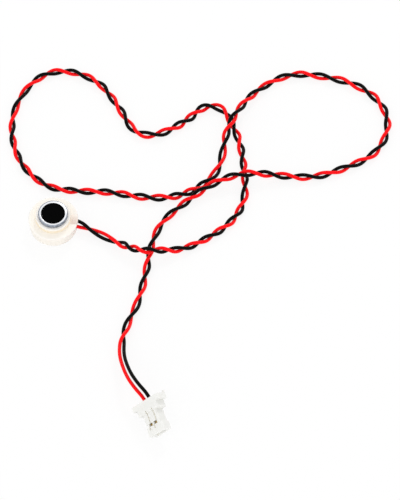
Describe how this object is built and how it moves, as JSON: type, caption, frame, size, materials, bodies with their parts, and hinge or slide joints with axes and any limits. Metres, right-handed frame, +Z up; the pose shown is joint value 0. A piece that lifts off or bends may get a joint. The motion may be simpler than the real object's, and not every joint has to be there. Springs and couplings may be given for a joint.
{
  "type": "mini speaker",
  "caption": "Small round speaker capsule in a silicone mounting boot, on a twisted pair of wires that ends in a small white crimp plug.",
  "frame": {"origin": "middle of the silicone boot's flat underside, which rests on the surface", "axes": "+Z up out of the capsule's sound face, +X towards the side where the two wires leave the boot"},
  "size_m": [0.0792, 0.0871, 0.007],
  "materials": {
    "boot_silicone": "translucent cream silicone",
    "can_aluminium": "satin drawn",
    "felt": "matt felt",
    "film": "formed film",
    "ring_brass": "satin",
    "coil_copper": "enamelled copper",
    "soft_iron": "satin plated",
    "magnet_plating": "nickel plated",
    "frame_plastic": "moulded",
    "board_laminate": "coated laminate",
    "pad_gold": "gold flash",
    "solder": "bright solder",
    "tinned_strands": "tinned copper",
    "jacket_red": "satin vinyl",
    "jacket_black": "satin vinyl",
    "plug_nylon": "translucent nylon",
    "contact_metal": "plated spring bronze"
  },
  "bodies": {
    "root": {"rubber_boot": "boot_silicone", "capsule_can": "can_aluminium", "felt_disc": "felt", "diaphragm": "film", "diaphragm_ring": "ring_brass", "voice_coil": "coil_copper", "top_plate": "soft_iron", "magnet": "magnet_plating", "yoke": "soft_iron", "speaker_frame": "frame_plastic", "terminal_board": "board_laminate", "terminal_pad_positive": "pad_gold", "terminal_pad_negative": "pad_gold", "solder_joint_positive": "solder", "solder_joint_negative": "solder", "red_wire_bare_end": "tinned_strands", "black_wire_bare_end": "tinned_strands", "red_wire": "jacket_red", "black_wire": "jacket_black", "plug_housing": "plug_nylon", "contact_positive": "contact_metal", "contact_negative": "contact_metal"}
  },
  "joints": []
}
